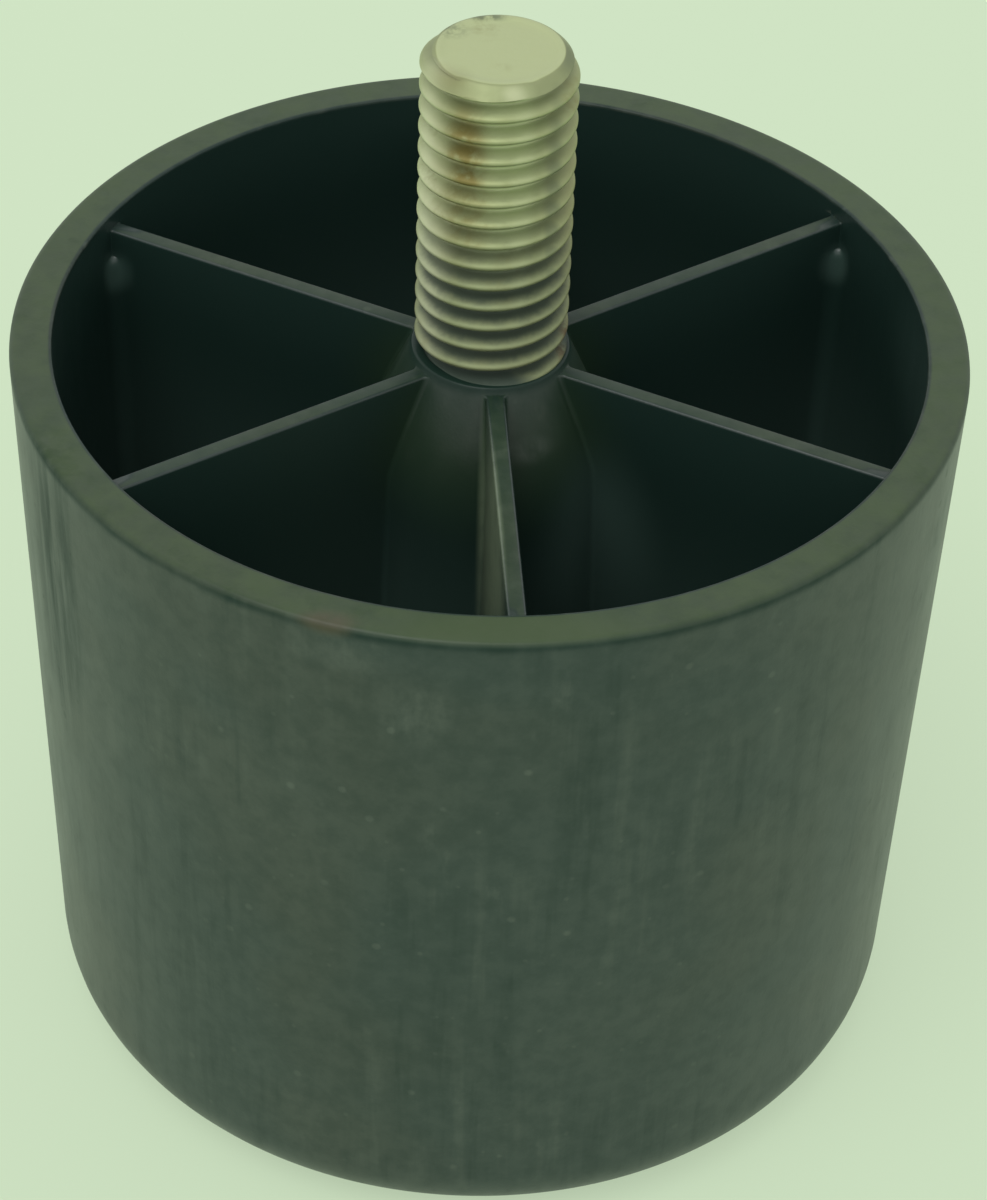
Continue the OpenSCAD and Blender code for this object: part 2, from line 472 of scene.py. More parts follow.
def rib_place(tree, place, copies):
    """Place measured along the nearest of the like ribs, away from its middle plane, and up"""
    spread = add_node(tree, "ShaderNodeSeparateXYZ", {0: place}).outputs
    square = calc(tree, "MULTIPLY", spread["Y"], spread["Y"])
    radius = calc(tree, "SQRT", calc(tree, "MULTIPLY_ADD", spread["X"], spread["X"], square))
    turn = calc(tree, "ARCTAN2", spread["Y"], spread["X"])
    aside = calc(tree, "PINGPONG", calc(tree, "ADD", turn, QUARTER_TURN), math.pi / copies)
    along = calc(tree, "MULTIPLY", radius, calc(tree, "COSINE", aside))
    away = calc(tree, "MULTIPLY", radius, calc(tree, "SINE", aside))
    return add_node(tree, "ShaderNodeCombineXYZ", {"X": along, "Y": away, "Z": spread["Z"]}).outputs[0]


def total(tree, *parts):
    """Sum of values, each times a share"""
    value = 0.0
    for part, times in parts:
        value = calc(tree, "MULTIPLY_ADD", part, times, value)
    return value


def broken(tree, mask, texture, low, high, to_low=0.0, to_high=1.0):
    """A mask broken up by a noise or another value"""
    return calc(tree, "MULTIPLY", mask, remap(tree, texture, low, high, to_low, to_high))


def layered(tree, tint, *layers):
    """Lays colours over a tint, each through its mask"""
    for mask, paint in layers:
        tint = blend(tree, mask, tint, paint)
    return tint


def leg_textures(tree, place):
    """Noises that the leg's marks are made from"""
    return SimpleNamespace(
        clouds=noise(tree, place, 0.11, detail=3, start=(3.1, 7.7, 1.3)),
        hues=noise(tree, place, 0.07, detail=2, start=(6.3, 1.9, 4.4)),
        mottle=noise(tree, place, 0.8, detail=4, roughness=0.6, start=(2.6, 8.1, 0.7)),
        streaks=noise(
            tree, place, 0.75, detail=3, roughness=0.6, stretch=(1, 1, 0.07), start=(1.7, 4.2, 8.8)
        ),
        patches=noise(tree, place, 0.1, detail=2, start=(9.4, 2.8, 5.1)),
        scuffs=noise(
            tree, place, 0.45, detail=4, roughness=0.7, stretch=(1, 1, 0.45), start=(5.6, 0.4, 2.9)
        ),
        grain=noise(tree, place, 5.5, detail=2, roughness=0.6),
    )


def wall_streaks(tree, texture, low, high):
    """Upright streaks between two levels of their noise, in patches"""
    streaks = remap(tree, texture.streaks, low, high)
    return broken(tree, streaks, texture.patches, 0.36, 0.58)


def wall_dust(tree, place, height, leg, texture, marks):
    """Pale dust of the wall: clouds, streaks, scuffs, specks and a band along the foot"""
    foot_top = calc(tree, "MULTIPLY_ADD", texture.clouds, leg.foot_round, leg.foot_round * 0.2)
    scuffed = total(tree, (marks.side_scuff, 0.9), (marks.rim_scuff, 0.8))
    return total(
        tree,
        (remap(tree, texture.clouds, 0.42, 0.7), 0.14),
        (remap(tree, texture.mottle, 0.45, 0.75), 0.12),
        (remap(tree, height, *FOOT_FILM_HEIGHTS), 0.07),
        (wall_streaks(tree, texture, 0.5, 0.7), 0.32),
        (broken(tree, marks.side_streak, texture.streaks, 0.4, 0.6), 0.45),
        (remap(tree, height, foot_top, 0.0), 0.2),
        (specks(tree, place, per_mm=0.42, size=0.13, kept=0.55), 0.55),
        (specks(tree, place, per_mm=1.1, size=0.2, kept=0.16), 0.35),
        (remap(tree, texture.scuffs, 0.6, 0.74), 0.3),
        (broken(tree, scuffed, texture.scuffs, 0.36, 0.6), 0.6),
    )


def wall_darkening(tree, depth, texture, side_grime):
    """Darkening of the wall: mottle, streaks, a line under the rim and a darker patch down the left side"""
    under_rim = broken(tree, remap(tree, depth, *LINE_FOOT_DEPTHS), depth, *LINE_TOP_DEPTHS)
    return total(
        tree,
        (remap(tree, texture.mottle, 0.62, 0.26), 0.33),
        (wall_streaks(tree, texture, 0.48, 0.32), 0.35),
        (broken(tree, under_rim, texture.clouds, 0.4, 0.56, 0.3, 1.0), 0.7),
        (side_grime, 0.9),
    )


def cup_layers(tree, place, leg, finish, texture, wear, boss_shade):
    """Painted light and shade, oil and dust inside the cup, each a mask and a colour"""
    marks = placed_marks(tree, place, leg.height, CUP_MARKS)
    head_z = rib_top(leg) - leg.corner_drop
    head = (inner_radius(leg, head_z) - HEAD_GLINT_IN, HEAD_GLINT_OUT, head_z - HEAD_GLINT_DOWN)
    head_glint = spot(tree, rib_place(tree, place, leg.rib_count), head, HEAD_GLINT_REACH)
    return (
        # Painted light on the right inner wall
        (broken(tree, marks.wall_film, wear, 0.3, 0.1, 0.0, 0.4), finish.painted_lift),
        (marks.boss_oil, finish.oily),
        # Painted shade on the boss's top
        (calc(tree, "MULTIPLY", boss_shade, 0.7), finish.clean),
        # Painted highlight on the head of each corner round
        (head_glint, finish.painted_lift),
        # Painted light on the front rib's left side
        (broken(tree, marks.rib_film, texture.mottle, 0.3, 0.6, 0.75, 1.0), finish.film),
        # Painted lift on the boss
        (marks.boss_film, finish.painted_lift),
        (broken(tree, marks.boss_smudge, texture.scuffs, 0.35, 0.6, 0.1, 0.6), finish.dusty),
    )


def plastic_material(finish, leg):
    """Satin black-green plastic: clean in the cells and lightened deep in them by a painted lift, dulled,
    streaked, scuffed and speckled outside, with painted light and shade in places
    """
    material, tree, shader, place = new_material("Leg plastic")
    wear = add_node(tree, "ShaderNodeAttribute", attribute_name="wear").outputs["Fac"]
    height = add_node(tree, "ShaderNodeSeparateXYZ", {0: place}).outputs["Z"]
    depth = calc(tree, "SUBTRACT", leg.height, height)
    texture = leg_textures(tree, place)
    marks = round_marks(tree, place, leg.rim_radius, leg.height, WALL_MARKS)
    outside = remap(tree, wear, 0.1, 0.5)

    warmth = calc(tree, "MULTIPLY_ADD", marks.cool_front, -0.85, 1.0)
    warmth = broken(tree, warmth, texture.hues, 0.4, 0.62)
    handled = blend(tree, warmth, finish.handled, finish.warm)
    dust = calc(tree, "MULTIPLY", wall_dust(tree, place, height, leg, texture, marks), outside)
    side_grime = broken(tree, marks.side_grime, texture.streaks, 0.66, 0.42)
    grime = calc(tree, "MULTIPLY", wall_darkening(tree, depth, texture, side_grime), outside)
    rubbing = calc(tree, "MAXIMUM", remap(tree, texture.scuffs, 0.3, 0.7, 0.6, 0.95), marks.front_rub)
    # Painted shade on the boss's top round the stud, which is also kept dull there
    boss_shade = spot(tree, place, (0, 0, boss_top(leg)), BOSS_SHADE_REACH)

    # Painted lift: the cells' plastic lightens with depth, against the shade down there
    sunk = remap(tree, depth, *LIFT_DEPTHS)
    tint = layered(
        tree, blend(tree, sunk, finish.clean, finish.painted_lift),
        (outside, handled),
        (dust, finish.dusty),
        (grime, finish.clean),
        (broken(tree, rubbing, wear, 0.55, 1.0), finish.rubbed),
        (broken(tree, marks.brown_mark, texture.scuffs, 0.3, 0.6, 0.2, 0.8), finish.brown),
        *cup_layers(tree, place, leg, finish, texture, wear, boss_shade),
    )

    gloss = total(tree, (texture.scuffs, 0.16), (dust, 0.2), (outside, 0.06))
    gloss = calc(tree, "ADD", gloss, 0.24)
    shine = remap(tree, wear, 0.5, 0.6, 0.5, 0.26)
    shine = calc(tree, "MULTIPLY", shine, remap(tree, grime, 0.0, 1.0, 1.0, 0.5, "LINEAR"))
    dull = total(tree, (boss_shade, 0.8), (side_grime, 0.75))
    shine = calc(tree, "MULTIPLY", shine, calc(tree, "SUBTRACT", 1.0, dull))
    relief = bump(tree, texture.grain, GRAIN_DEPTH)
    relief = bump(tree, texture.scuffs, SCUFF_DEPTH, relief)
    connect(tree, shader, Base_Color=tint, Roughness=gloss, Specular_IOR_Level=shine, Normal=relief)
    shader.inputs["IOR"].default_value = 1.55
    return material


def plate_stains(tree, marks, bands, patches, spots):
    """Brown stain of the plate: in patches, down both sides and along the tip's edge"""
    patchy = remap(tree, patches, 0.5, 0.7)
    return total(
        tree,
        (broken(tree, patchy, spots, 0.35, 0.65), 0.35),
        (bands.stained, 0.5),
        (marks.edge_stain, 0.3),
        (marks.left_side, 0.3),
        (broken(tree, marks.left_stain, spots, 0.24, 0.55), 0.75),
        (broken(tree, marks.lower_stain, spots, 0.35, 0.65), 0.3),
    )


def thread_darkening(tree, rise, level, bared):
    """Grooves darker low in the thread, and painted shadow with grime all round where it goes into the
    boss, except where it is left undarkened
    """
    low = remap(tree, rise, *THREAD_DARKENING_HEIGHTS, 0.0, 0.85)
    low = broken(tree, low, level, 1.45, 0.7, 0.3, 1.0)
    # Painted shadow with grime where the thread goes into the boss
    lowest = remap(tree, rise, *SEAT_SHADOW_AND_GRIME_HEIGHTS, 0.0, 0.93)
    lowest = calc(tree, "MULTIPLY", lowest, calc(tree, "MULTIPLY_ADD", bared, -0.85, 1.0))
    return calc(tree, "MAXIMUM", low, lowest)


def side_shade_and_back_marks(tree, place, stud, marks, spots, chamfer):
    """Painted shade down the front right and on the chamfer's right, and darker marks at the back of the
    tip's edge
    """
    shaded = calc(tree, "MULTIPLY", marks.shaded_edge, chamfer)
    shaded = calc(tree, "MAXIMUM", marks.shaded_side, shaded)
    edge_radius = stud.radius - stud.tip_chamfer - TIP_MARK_IN
    tip = round_marks(tree, place, edge_radius, stud.tip_height, TIP_MARKS)
    back_edge = total(tree, (tip.back_left, 0.5), (tip.back, 0.6))
    back_edge = broken(tree, back_edge, spots, 0.3, 0.6)
    return calc(tree, "MAXIMUM", calc(tree, "MULTIPLY", shaded, 0.4), back_edge)


def plate_material(finish, leg, stud):
    """Dull straw-tinted zinc plate: lighter on crests and tip, darker in low grooves, stained in places,
    with painted highlights and painted light on its left side and front and painted shade on its front
    right
    """
    material, tree, shader, place = new_material("Stud plate")
    crest = add_node(tree, "ShaderNodeAttribute", attribute_name="thread_height").outputs["Fac"]
    height = add_node(tree, "ShaderNodeSeparateXYZ", {0: place}).outputs["Z"]
    rise = calc(tree, "SUBTRACT", height, leg.height)
    patches = noise(tree, place, 0.3, detail=3, start=(4.4, 1.2, 6.3))
    spots = noise(tree, place, 1.3, detail=3, roughness=0.65, start=(8.1, 3.3, 0.6))
    rubs = noise(tree, place, 2.4, detail=2, stretch=(0.3, 0.3, 1.6), start=(1.1, 9.2, 4.5))
    level = calc(tree, "MULTIPLY_ADD", spots, 0.5, calc(tree, "MULTIPLY_ADD", patches, 0.4, crest))
    marks = round_marks(tree, place, stud.radius, stud.tip_height, STUD_MARKS)
    bands = placed_marks(tree, place, stud.tip_height, STUD_BANDS)
    seat = round_marks(tree, place, stud.radius, leg.height, SEAT_MARKS)

    chamfer_foot = stud.tip_height - stud.tip_chamfer
    chamfer = remap(tree, height, chamfer_foot, chamfer_foot + 0.2 * stud.tip_chamfer)
    chamfer = broken(tree, chamfer, crest, 1.2, 1.0)
    # Painted highlights down the left side and the front
    painted_highlights = total(tree, (bands.bright, 0.9), (marks.front_band, 0.55))
    rusty = broken(tree, seat.rusty, spots, 0.36, 0.6)
    # Grime, painted shadow and painted shade, as one mask
    dirt_and_shade_mask = calc(
        tree, "MAXIMUM",
        thread_darkening(tree, rise, level, seat.bared),
        side_shade_and_back_marks(tree, place, stud, marks, spots, chamfer),
    )

    tint = layered(
        tree, blend(tree, remap(tree, level, 0.5, 1.6), finish.groove, finish.plate),
        (remap(tree, crest, 1.1, 1.4), finish.face),
        (calc(tree, "MULTIPLY", chamfer, 0.6), finish.groove),
        (painted_highlights, finish.face),
        # Painted light in the front grooves
        (broken(tree, marks.wiped, crest, 1.0, 0.3, 0.0, 0.9), finish.face),
        # Painted highlights on the left edge and the chamfer's front
        (calc(tree, "MULTIPLY", marks.left_edge, 0.85), finish.highlight_plate),
        (calc(tree, "MULTIPLY", marks.bared_edge, chamfer), finish.highlight_plate),
        (plate_stains(tree, marks, bands, patches, spots), finish.stain),
        (rusty, finish.rust),
        # Grime, painted shadow and painted shade
        (dirt_and_shade_mask, finish.dirt_and_shade),
    )

    gloss = total(tree, (spots, 0.2), (rusty, 0.25), (dirt_and_shade_mask, 0.2))
    gloss = calc(tree, "ADD", gloss, 0.38)
    metal = total(tree, (rusty, -0.5), (dirt_and_shade_mask, -0.4))
    metal = calc(tree, "ADD", metal, 0.5)
    relief = bump(tree, rubs, RUB_DEPTH)
    relief = bump(tree, spots, SPOT_DEPTH, relief)
    connect(tree, shader, Base_Color=tint, Roughness=gloss, Metallic=metal, Normal=relief)
    return material


def floor_material(look):
    """Plain pale floor with a faint unevenness"""
    material, tree, shader, place = new_material("Pale floor")
    clouds = noise(tree, place, 0.01, detail=2)
    patch = [part * FLOOR_PATCH_SHARE for part in look.floor]
    tint = blend(tree, clouds, look.floor, patch)
    connect(tree, shader, Base_Color=tint)
    shader.inputs["Roughness"].default_value = 0.9
    shader.inputs["Specular IOR Level"].default_value = 0.1
    glow = add_node(tree, "ShaderNodeEmission", {"Color": tint}).outputs[0]
    path = add_node(tree, "ShaderNodeLightPath").outputs
    seen = calc(tree, "MAXIMUM", path["Is Camera Ray"], path["Is Glossy Ray"])
    seen = calc(tree, "MAXIMUM", seen, path["Is Transmission Ray"])
    evened = calc(tree, "MULTIPLY", seen, look.floor_evening)
    both = add_node(tree, "ShaderNodeMixShader", {0: evened, 1: shader.outputs[0], 2: glow}).outputs[0]
    tree.links.new(both, tree.nodes["Material Output"].inputs["Surface"])
    return material


# Sections and outlines of the leg

def arc_points(centre, radius, start, end, steps):
    """Points along an arc in its own plane"""
    turns = [start + (end - start) * step / steps for step in range(steps + 1)]
    return [(centre[0] + radius * math.cos(turn), centre[1] + radius * math.sin(turn)) for turn in turns]


def between(first, last, steps):
    """Evenly spaced values from the first to the last"""
    return [first + (last - first) * step / steps for step in range(steps + 1)]


def rib_top(leg):
    """Height of the ribs' tops"""
    return leg.height - leg.rib_drop


def boss_top(leg):
    """Height of the boss's top"""
    return leg.height - leg.boss_drop


def shank_radius(stud):
    """Radius of the plain shank that the thread is rolled on"""
    return stud.radius - stud.blank_share * stud.pitch / 2


def seat_radius(stud):
    """Radius of the hole in the boss"""
    return shank_radius(stud) + stud.fit_gap


def wall_radius(leg, z):
    """Radius of the outer wall at a height, before its edges are rounded"""
    return leg.rim_radius - (leg.height - z) * math.tan(leg.wall_draft)


def inner_radius(leg, z):
    """Radius of the inner wall at a height"""
    return wall_radius(leg, z) - leg.wall_thickness


def boss_radius(leg, stud, z):
    """Radius of the boss at a height, with a soft bend under its shoulder"""
    edge = seat_radius(stud) + leg.boss_lip + leg.shoulder_width
    depth = boss_top(leg) - leg.shoulder_height - z
    above = leg.shoulder_width / leg.shoulder_height
    below = math.tan(leg.boss_draft)
    if abs(depth) > leg.shoulder_ease:
        return edge + depth * (below if depth > 0 else above)
    bend = (below - above) * (depth ** 2 + leg.shoulder_ease ** 2) / (4 * leg.shoulder_ease)
    return edge + depth * (above + below) / 2 + bend


def round_centre(leg, foot_radius, round_radius):
    """Distance from the axis to the centre of a round that touches a floor and the leaning wall"""
    return foot_radius + round_radius * (math.tan(leg.wall_draft) - 1 / math.cos(leg.wall_draft))


def shell_section(leg):
    """Half section of the cup, from the foot's middle over the rim to the ribs' tops, with wear"""
    lean = leg.wall_draft
    foot_x = round_centre(leg, wall_radius(leg, 0), leg.foot_round)
    foot = arc_points((foot_x, leg.foot_round), leg.foot_round, -QUARTER_TURN, -lean, FOOT_STEPS)
    rim_z = leg.height - leg.rim_round
    rim_x = wall_radius(leg, rim_z) - leg.rim_round / math.cos(lean)
    rim = arc_points((rim_x, rim_z), leg.rim_round, -lean, QUARTER_TURN, EDGE_STEPS)
    lip_z = leg.height - leg.rim_lip
    lip_x = inner_radius(leg, lip_z) + leg.rim_lip / math.cos(lean)
    lip = arc_points((lip_x, lip_z), leg.rim_lip, QUARTER_TURN, math.pi - lean, EDGE_STEPS)
    hold = leg.rim_round
    sole = [(foot_x * part, 0) for part in SOLE_SHARES]
    wall_z = between(foot[-1][1] + hold, rim[0][1] - hold, WALL_ROWS)
    wall = [(wall_radius(leg, z), z) for z in wall_z]
    brow = [(rim_x - leg.rim_lip, leg.height), (lip_x + leg.rim_lip, leg.height)]
    inside_z = between(lip[-1][1] - leg.rim_lip, rib_top(leg), BROW_ROWS)
    inside = [(inner_radius(leg, z), z) for z in inside_z]
    return (
        [(point, WALL_WEAR) for point in sole + foot + wall]
        + list(zip(rim, between(EDGE_WEAR, RIM_WEAR, EDGE_STEPS)))
        + [(point, RIM_WEAR) for point in brow]
        + [(point, EDGE_WEAR) for point in lip]
        + [(point, 0.0) for point in inside]
    )


def corner_points(centre_radius, offset, radius, outer):
    """Round between a rib on the x axis and the wall, if outer, or the boss"""
    reach = math.sqrt(centre_radius ** 2 - offset ** 2)
    lean = math.asin(offset / centre_radius)
    start, end = (-lean, QUARTER_TURN) if outer else (QUARTER_TURN, math.pi - lean)
    return arc_points((reach, -offset), radius, start, end, CORNER_STEPS)


def wall_corner_radius(leg, z):
    """Radius of the corner between rib and wall at a height, which ends in a rounded head"""
    depth = rib_top(leg) - leg.corner_drop - z
    part = min(max(depth / leg.corner_head, 0), 1)
    return leg.bare_corner + (leg.wall_corner - leg.bare_corner) * math.sqrt(1 - (1 - part) ** 2)


def rib_side(leg, stud, z, wall_r, eased):
    """Outline of a rib's side with its corners from wall to boss, eased back at its top edge"""
    half = leg.rib_thickness / 2 + (rib_top(leg) - z) * math.tan(leg.rib_draft) - eased
    wall_corner = wall_corner_radius(leg, z) + eased
    boss_corner = leg.boss_corner + eased
    boss_r = boss_radius(leg, stud, z)
    outer = corner_points(wall_r - wall_corner, half + wall_corner, wall_corner, True)
    inner = corner_points(boss_r + boss_corner, half + boss_corner, boss_corner, False)
    side = [(x, -half) for x in between(outer[-1][0], inner[0][0], RIB_STEPS)]
    return [turned(leg, point) for point in outer + side[1:-1] + inner]


def turned(leg, point):
    """Turns a point from the x axis to the rib beside the first cell"""
    turn = math.pi / leg.rib_count
    x, y = point
    return (x * math.cos(turn) - y * math.sin(turn), x * math.sin(turn) + y * math.cos(turn))


def mirrored(points):
    """The same points on the other side of the cell"""
    return [(x, -y) for x, y in points]


def direction(point):
    """Angle of a point about the axis"""
    return math.atan2(point[1], point[0])


def cell_outline(leg, stud, z, wall_r, eased):
    """Closed outline of the first cell at one height"""
    side = rib_side(leg, stud, z, wall_r, eased)
    wall_end = direction(side[0])
    boss_end = direction(side[-1])
    wall = arc_points((0, 0), wall_r, -wall_end, wall_end, WALL_STEPS)
    boss = arc_points((0, 0), boss_radius(leg, stud, z), boss_end, -boss_end, BOSS_STEPS)
    return wall + side[1:] + boss[1:] + mirrored(side)[-2:0:-1]


def cell_levels(leg):
    """Heights down a cell, each with the wall's radius, the easing of the rib's edge and its wear"""
    levels = []
    for turn in between(0, QUARTER_TURN, EDGE_STEPS):
        z = rib_top(leg) - leg.rib_edge * (1 - math.cos(turn))
        back = 1 - math.sin(turn)
        levels.append((z, inner_radius(leg, z), leg.rib_edge * back, RIB_WEAR * back))
    centre_z = leg.floor_thickness + leg.floor_round
    centre_x = round_centre(leg, inner_radius(leg, leg.floor_thickness), leg.floor_round)
    centre = (centre_x, centre_z)
    rounding = arc_points(centre, leg.floor_round, -leg.wall_draft, -QUARTER_TURN, FLOOR_STEPS)
    head_z = rib_top(leg) - leg.corner_drop
    turns = between(0, QUARTER_TURN, CORNER_STEPS)
    head = [head_z - leg.corner_head * (1 - math.cos(turn)) for turn in turns]
    below_edge = between(levels[-1][0] - leg.rib_edge, head_z + leg.rib_edge, HEAD_ROWS)
    below_head = between(head[-1] - leg.corner_head, rounding[0][1] + leg.rib_edge, CELL_ROWS)
    for z in below_edge + head + below_head:
        levels.append((z, inner_radius(leg, z), 0, 0))
    return levels + [(z, radius, 0, 0) for radius, z in rounding]


def faded(depth, reach):
    """1 at no depth, and falling evenly to 0 at its reach"""
    return min(max(1 - depth / reach, 0), 1)


def boss_wear(leg, z):
    """Wear of the boss, which fades down its shoulder"""
    fading = faded(boss_top(leg) - z, BOSS_FADE_SHARE * leg.shoulder_height)
    return BOSS_WEAR + (BOSS_TOP_WEAR - BOSS_WEAR) * fading


def cell_wear(leg, z, edge_wear):
    """Wear of each point of a cell's outline: on the ribs' edges and the boss, not on the wall"""
    wall = [0] * (WALL_STEPS + CORNER_STEPS + 1)
    side = [edge_wear] * (RIB_STEPS + CORNER_STEPS)
    return wall + side + [boss_wear(leg, z)] * BOSS_STEPS + side + [0] * (CORNER_STEPS - 1)


class RowMesh:
    """A mesh made of rows of points, each with a value of one attribute"""

    def __init__(self, attribute):
        self.bm = bmesh.new()
        self.layer = self.bm.verts.layers.float.new(attribute)

    def add_row(self, points, z, values):
        """Adds one row of points at a height, with one value for all or a list of them"""
        row = [self.bm.verts.new((x, y, z)) for x, y in points]
        if not isinstance(values, list):
            values = [values] * len(row)
        for vert, value in zip(row, values):
            vert[self.layer] = value
        return row

    def join_rows(self, rows, closed):
        """Fills the space between each row and the next with faces"""
        for first, second in zip(rows, rows[1:]):
            last = len(first) if closed else len(first) - 1
            for here in range(last):
                there = (here + 1) % len(first)
                self.bm.faces.new((first[here], first[there], second[there], second[here]))

    def finish(self, name):
        """Welds the rows' meeting points and returns the mesh"""
        bmesh.ops.remove_doubles(self.bm, verts=self.bm.verts, dist=WELD)
        bmesh.ops.dissolve_degenerate(self.bm, edges=self.bm.edges, dist=WELD / 10)
        bmesh.ops.recalc_face_normals(self.bm, faces=self.bm.faces)
        mesh = bpy.data.meshes.new(name)
        self.bm.to_mesh(mesh)
        self.bm.free()
        return mesh


def fan_angles(leg, middle_end, middle_steps):
    """Angles across one cell: over a rib's half, over the cell and over the next rib's half"""
    edge = math.pi / leg.rib_count
    return (
        between(-edge, -middle_end, CORNER_STEPS)
        + between(-middle_end, middle_end, middle_steps)[1:-1]
        + between(middle_end, edge, CORNER_STEPS)
    )


def ring_points(radius, angles):
    """Points at those angles on a circle"""
    return [(radius * math.cos(turn), radius * math.sin(turn)) for turn in angles]


def hexagon_points(corner_radius, angles):
    """Points at those angles on a hexagon with a corner on the x axis"""
    half_side = math.pi / 6
    flat = corner_radius * math.cos(half_side)
    radii = [flat / math.cos(turn % (2 * half_side) - half_side) for turn in angles]
    return [(radius * math.cos(turn), radius * math.sin(turn)) for radius, turn in zip(radii, angles)]


def add_shell(mesh, leg, side):
    """Outside of the cup, its rim and the inner wall above the ribs, over one cell"""
    angles = fan_angles(leg, direction(side[0]), WALL_STEPS)
    section = shell_section(leg)
    mesh.join_rows([mesh.add_row(ring_points(r, angles), z, wear) for (r, z), wear in section], False)


def add_cell(mesh, leg, stud):
    """Walls of one cell, from the rib's rounded top edges to the floor, and the floor"""
    rows = [
        mesh.add_row(cell_outline(leg, stud, z, wall_r, eased), z, cell_wear(leg, z, wear))
        for z, wall_r, eased, wear in cell_levels(leg)
    ]
    z = leg.floor_thickness
    outline = [vert.co for vert in rows[-1]]
    middle = sum(outline, Vector()) / len(outline)
    for part in FLOOR_SHARES:
        points = [middle.lerp(point, part).xy for point in outline]
        rows.append(mesh.add_row(points, z, 0))
    mesh.join_rows(rows, True)


def add_rib_tops(mesh, leg, stud, side):
    """Level tops of the two half ribs beside a cell"""
    z = rib_top(leg)
    edge = math.pi / leg.rib_count
    wall_r = inner_radius(leg, z)
    boss_r = boss_radius(leg, stud, z)
    at_wall = ring_points(wall_r, between(direction(side[0]), edge, CORNER_STEPS))
    at_boss = ring_points(boss_r, between(edge, direction(side[-1]), CORNER_STEPS))
    along = [turned(leg, (x, 0)) for x in between(wall_r, boss_r, RIB_STEPS)]
    ridge = at_wall + along[1:-1] + at_boss
    for first, second in ((side, ridge), (mirrored(side), mirrored(ridge))):
        mesh.join_rows([mesh.add_row(first, z, RIB_WEAR), mesh.add_row(second, z, RIB_WEAR)], False)


def add_boss_top(mesh, leg, stud, side):
    """Boss above the ribs, its flat ring and the seat of the stud inside it, over one cell"""
    angles = fan_angles(leg, direction(side[-1]), BOSS_STEPS)
    top = boss_top(leg)
    lean = math.atan2(leg.shoulder_width, leg.shoulder_height)
    edge_z = top - leg.boss_edge
    edge_x = boss_radius(leg, stud, edge_z) - leg.boss_edge / math.cos(lean)
    edge = arc_points((edge_x, edge_z), leg.boss_edge, lean, QUARTER_TURN, EDGE_STEPS)
    cone_z = between(rib_top(leg), edge[0][1], CONE_ROWS)
    cone = [(boss_radius(leg, stud, z), z) for z in cone_z[:-1]]
    seat_r = seat_radius(stud)
    seat_z = stud.foot_height + stud.collar_height + stud.fit_gap
    seat = [(edge_x - leg.boss_edge, top), (seat_r, top), (seat_r, top - leg.boss_edge), (seat_r, seat_z)]
    rows = [mesh.add_row(ring_points(r, angles), z, boss_wear(leg, z)) for r, z in cone]
    rows += [mesh.add_row(ring_points(r, angles), z, 0) for r, z in edge + seat]
    room = hexagon_points(shank_radius(stud) + stud.collar_out + stud.fit_gap, angles)
    rows.append(mesh.add_row(room, seat_z, 0))
    rows.append(mesh.add_row(room, stud.foot_height, 0))
    rows.append(mesh.add_row(ring_points(0, angles), stud.foot_height, 0))
    mesh.join_rows(rows, False)


def leg_sector(leg, stud):
    """The part of the leg from the middle of one rib to the middle of the next"""
    mesh = RowMesh("wear")
    side = rib_side(leg, stud, rib_top(leg), inner_radius(leg, rib_top(leg)), leg.rib_edge)
    add_shell(mesh, leg, side)
    add_cell(mesh, leg, stud)
    add_rib_tops(mesh, leg, stud, side)
    add_boss_top(mesh, leg, stud, side)
    return mesh.finish("Leg sector")


# Geometry node trees

def new_tree(name, sockets):
    """A geometry tree with named inputs, each a name and a kind of value"""
    tree = bpy.data.node_groups.new(name, "GeometryNodeTree")
    tree.interface.new_socket("Geometry", in_out="INPUT", socket_type="NodeSocketGeometry")
    for label, kind in sockets:
        tree.interface.new_socket(label, in_out="INPUT", socket_type="NodeSocket" + kind)
    tree.interface.new_socket("Geometry", in_out="OUTPUT", socket_type="NodeSocketGeometry")
    return tree, add_node(tree, "NodeGroupInput").outputs


def close_tree(tree, geometry, weld, material):
    """Welds, smooths and paints the geometry and sends it out"""
    real = add_node(tree, "GeometryNodeRealizeInstances", {0: geometry}).outputs[0]
    whole = add_node(tree, "GeometryNodeMergeByDistance", {"Geometry": real, "Distance": weld}).outputs[0]
    smooth = add_node(tree, "GeometryNodeSetShadeSmooth", {"Geometry": whole}).outputs[0]
    given_material = {"Geometry": smooth, "Material": material}
    painted = add_node(tree, "GeometryNodeSetMaterial", given_material).outputs[0]
    add_node(tree, "NodeGroupOutput", {0: painted})
    return tree


def sector_tree():
    """Repeats a sector about the axis"""
    sockets = [("Copies", "Int"), ("Weld", "Float"), ("Material", "Material")]
    tree, given = new_tree("Repeat about the axis", sockets)
    points = add_node(tree, "GeometryNodePoints", {"Count": given["Copies"]}).outputs[0]
    index = add_node(tree, "GeometryNodeInputIndex").outputs[0]
    turn = calc(tree, "DIVIDE", calc(tree, "MULTIPLY", index, 2 * math.pi), given["Copies"])
    euler = add_node(tree, "ShaderNodeCombineXYZ", {"Z": turn}).outputs[0]
    rotation = add_node(tree, "FunctionNodeEulerToRotation", {0: euler}).outputs[0]
    copies = add_node(
        tree, "GeometryNodeInstanceOnPoints",
        {"Points": points, "Instance": given["Geometry"], "Rotation": rotation},
    ).outputs[0]
    return close_tree(tree, copies, given["Weld"], given["Material"])


THREAD_SIZES = (
    "Foot height", "Top height", "Tip height", "Tip radius", "Shank radius", "Root radius", "Crest radius",
    "Pitch", "Crest share", "Root share", "Crest height", "Crest turn",
)


